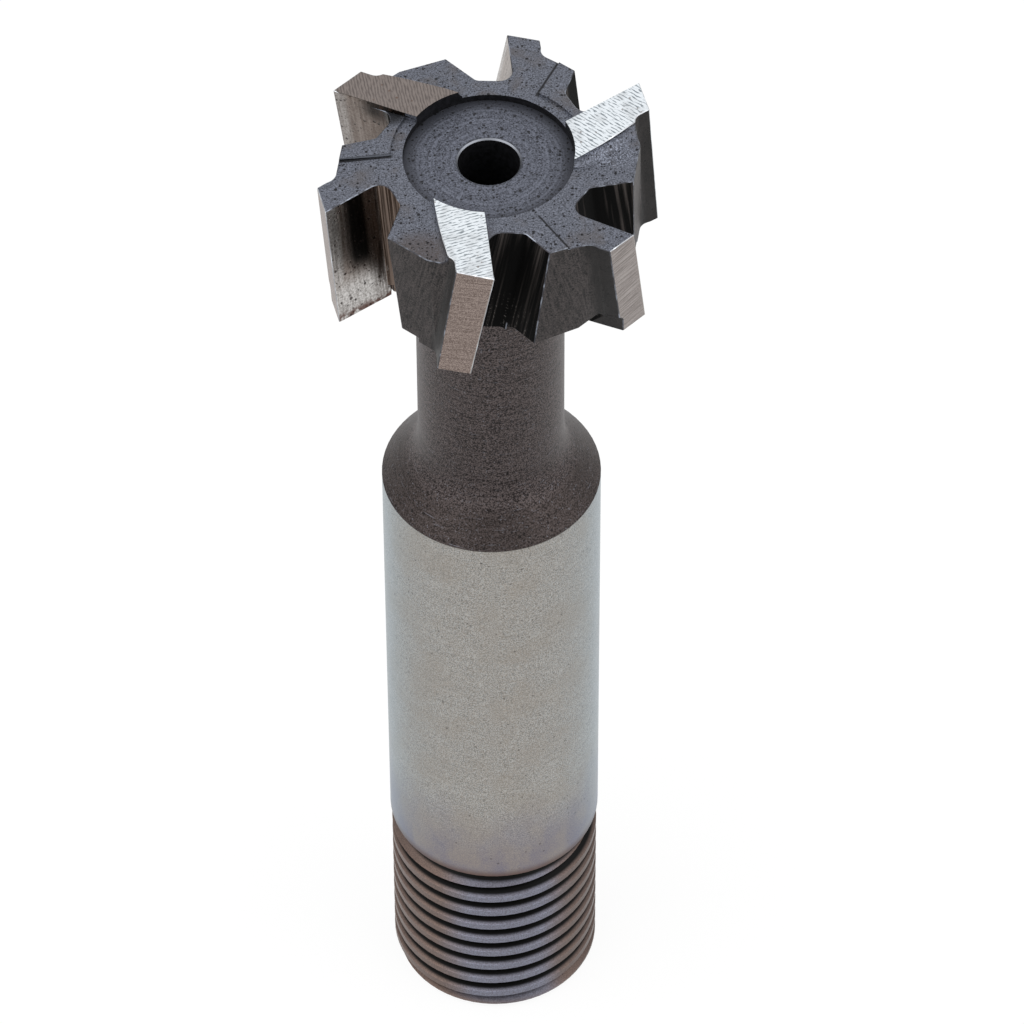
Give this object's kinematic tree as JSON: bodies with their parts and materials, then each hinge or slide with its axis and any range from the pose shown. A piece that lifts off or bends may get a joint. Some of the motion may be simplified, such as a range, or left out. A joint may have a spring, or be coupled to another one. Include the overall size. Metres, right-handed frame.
{
  "type": "t-slot cutter",
  "caption": "T-slot milling cutter with a staggered-tooth head, a slim neck and a straight shank threaded at its end.",
  "frame": {"origin": "centre of the shank's end face, at the threaded end", "axes": "+Z along the cutter's axis, from the threaded end to the cutting end; -Y is the side that faces the camera"},
  "size_m": [0.0178, 0.0186, 0.066],
  "materials": {
    "tool_steel": "dark heat-treated steel, with a satin ground shank and bright ground cutting lands"
  },
  "bodies": {
    "root": {"t_slot_cutter": "tool_steel"}
  },
  "joints": []
}
